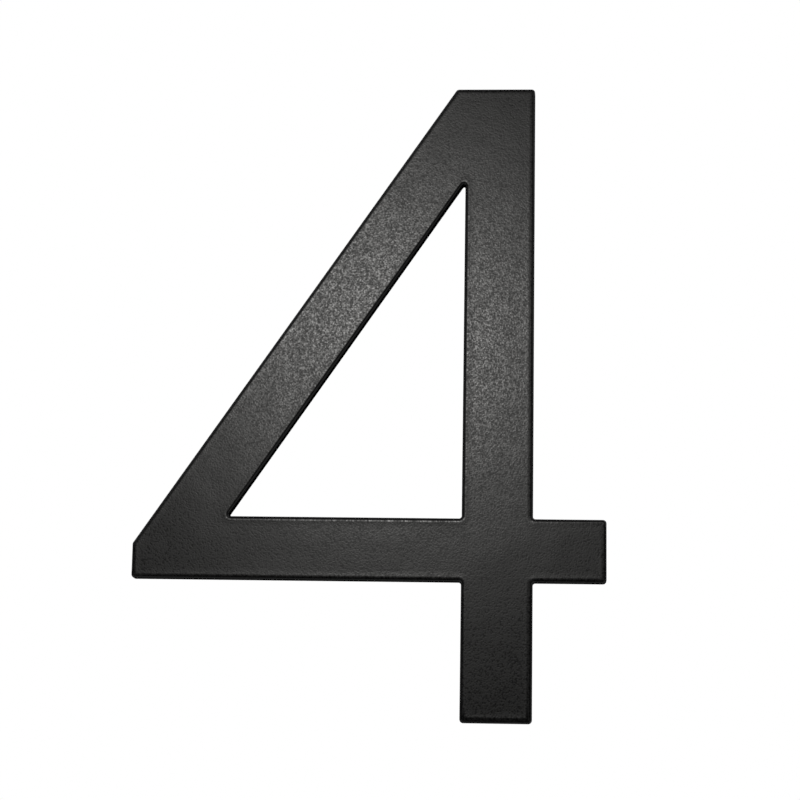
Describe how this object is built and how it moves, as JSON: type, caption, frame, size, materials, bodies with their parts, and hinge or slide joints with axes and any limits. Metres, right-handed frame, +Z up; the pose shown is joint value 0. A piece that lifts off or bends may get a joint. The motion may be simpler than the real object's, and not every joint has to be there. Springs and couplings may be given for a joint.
{
  "type": "adhesive mailbox number",
  "caption": "Stick-on house number: a black powder-coated plate in the shape of the numeral 4, rounded at its front edge, with a die-cut foam adhesive pad on its flat back.",
  "frame": {"origin": "on the rear adhesive face, where the middle of the stem crosses the middle of the crossbar", "axes": "+Z up the stem as the numeral reads, +X to the reader's right, +Y out of the rear adhesive face into the mailbox wall, so the front faces -Y"},
  "size_m": [0.0558, 0.0023, 0.0762],
  "materials": {
    "powder_coated_plate": "fine-textured matte black powder coat on a zinc die casting",
    "foam_tape": "dark grey closed-cell acrylic foam tape with a tacky adhesive face"
  },
  "bodies": {
    "root": {"numeral": "powder_coated_plate", "adhesive_pad": "foam_tape"}
  },
  "joints": []
}
